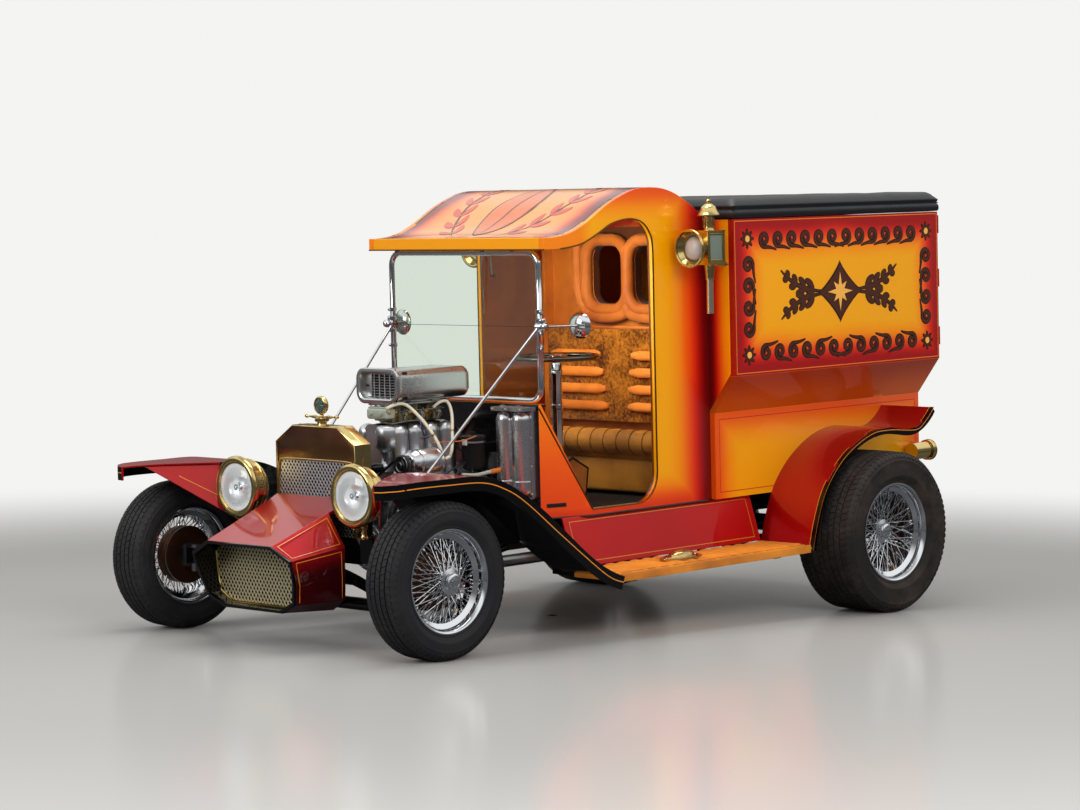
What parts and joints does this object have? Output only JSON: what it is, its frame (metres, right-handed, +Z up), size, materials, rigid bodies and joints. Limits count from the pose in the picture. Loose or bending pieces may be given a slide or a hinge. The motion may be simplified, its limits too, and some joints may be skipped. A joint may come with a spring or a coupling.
{
  "type": "C-cab panel delivery hot rod",
  "caption": "Open-engined C-cab panel delivery hot rod on wire wheels, with steering front wheels and two rear doors.",
  "frame": {"origin": "on the floor, at the bottom centre of the whole vehicle's box", "axes": "+X forward, +Y to the vehicle's left, +Z up"},
  "size_m": [3.5678, 1.931, 1.8342],
  "materials": {
    "paint_orange": "gloss",
    "paint_red": "gloss",
    "chassis_black": "satin",
    "chrome": "polished",
    "brass": "polished",
    "tyre_rubber": "matt",
    "polished_alloy": "polished",
    "engine_alloy": "satin",
    "steel": "satin",
    "glass": "gloss",
    "leather_tan": "satin",
    "roof_vinyl": "satin",
    "mesh_dark": "satin",
    "carpet": "matt",
    "hose_rubber": "satin",
    "board_leather": "satin",
    "iron": "satin"
  },
  "bodies": {
    "chassis": {"air_scoop": "polished_alloy", "box_floor": "carpet", "box_front": "paint_red", "box_roof": "roof_vinyl", "box_sides": "paint_orange", "bulkhead": "leather_tan", "cab_floor": "carpet", "cab_roof": "paint_orange", "cab_sides": "paint_orange", "carburettors": "polished_alloy", "carriage_lamps": "brass", "console": "chassis_black", "cowl": "paint_orange", "cylinder_heads": "polished_alloy", "driveline": "iron", "engine_block": "engine_alloy", "engine_front": "polished_alloy", "exhausts": "steel", "firewall_box": "polished_alloy", "frame_members": "chassis_black", "frame_rails": "chassis_black", "front_axle": "chassis_black", "front_fenders": "paint_red", "headlamps": "brass", "nose_grille": "brass", "nose_shell": "paint_red", "oil_filter": "chassis_black", "radiator_core": "mesh_dark", "radiator_hoses": "hose_rubber", "radiator_shell": "brass", "rear_axle": "iron", "rear_fenders": "paint_red", "rear_springs": "steel", "running_boards": "board_leather", "seat": "leather_tan", "splash_aprons": "paint_red", "steering_column": "chrome", "tail_lamps": "brass", "windshield_frame": "chrome", "windshield_glass": "glass"},
    "front_left_wheel": {"tyre_front_left": "tyre_rubber", "wheel_front_left": "chrome"},
    "front_right_wheel": {"tyre_front_right": "tyre_rubber", "wheel_front_right": "chrome"},
    "rear_left_wheel": {"tyre_rear_left": "tyre_rubber", "wheel_rear_left": "chrome"},
    "rear_right_wheel": {"tyre_rear_right": "tyre_rubber", "wheel_rear_right": "chrome"},
    "left_knuckle": {"knuckle_left": "steel"},
    "right_knuckle": {"knuckle_right": "steel"},
    "steering_link": {"tie_rod": "chassis_black"},
    "hand_wheel": {"steering_wheel": "chrome"},
    "left_rear_door": {"rear_door_left": "paint_orange"},
    "right_rear_door": {"rear_door_right": "paint_orange"}
  },
  "joints": [
    {"name": "steer_left", "type": "hinge", "parent": "chassis", "child": "left_knuckle", "pos_m": [1.447, 0.668, 0.3015], "axis": [0, 0, 1], "range_deg": [-24, 24]},
    {"name": "steer_right", "type": "hinge", "parent": "chassis", "child": "right_knuckle", "pos_m": [1.447, -0.668, 0.3015], "axis": [0, 0, 1], "range_deg": [-24, 24]},
    {"name": "spin_front_left", "type": "hinge", "parent": "left_knuckle", "child": "front_left_wheel", "pos_m": [1.447, 0.765, 0.3015], "axis": [0, 1, 0], "continuous": true},
    {"name": "spin_front_right", "type": "hinge", "parent": "right_knuckle", "child": "front_right_wheel", "pos_m": [1.447, -0.765, 0.3015], "axis": [0, 1, 0], "continuous": true},
    {"name": "spin_rear_left", "type": "hinge", "parent": "chassis", "child": "rear_left_wheel", "pos_m": [-1.105, 0.8135, 0.3475], "axis": [0, 1, 0], "continuous": true},
    {"name": "spin_rear_right", "type": "hinge", "parent": "chassis", "child": "rear_right_wheel", "pos_m": [-1.105, -0.8135, 0.3475], "axis": [0, 1, 0], "continuous": true},
    {"name": "link_slide", "type": "slide", "parent": "chassis", "child": "steering_link", "axis": [0, 1, 0], "range_m": [-0.052, 0.052]},
    {"name": "hand_wheel_turn", "type": "hinge", "parent": "chassis", "child": "hand_wheel", "pos_m": [0.25075, 0.22, 1.10942], "axis": [0.0384, 0, 0.9993], "range_deg": [-290, 290]},
    {"name": "rear_door_left_swing", "type": "hinge", "parent": "chassis", "child": "left_rear_door", "pos_m": [-1.76519, 0.654, 1.14984], "axis": [0.0384, 0, 0.9993], "range_deg": [-110, 0]},
    {"name": "rear_door_right_swing", "type": "hinge", "parent": "chassis", "child": "right_rear_door", "pos_m": [-1.76519, -0.654, 1.14984], "axis": [0.0384, 0, 0.9993], "range_deg": [0, 110]}
  ],
  "couplings": [
    {"joint": "steer_right", "follows": "steer_left", "ratio": 1},
    {"joint": "link_slide", "follows": "steer_left", "m_per_rad": -0.12},
    {"joint": "hand_wheel_turn", "follows": "steer_left", "ratio": 12}
  ]
}
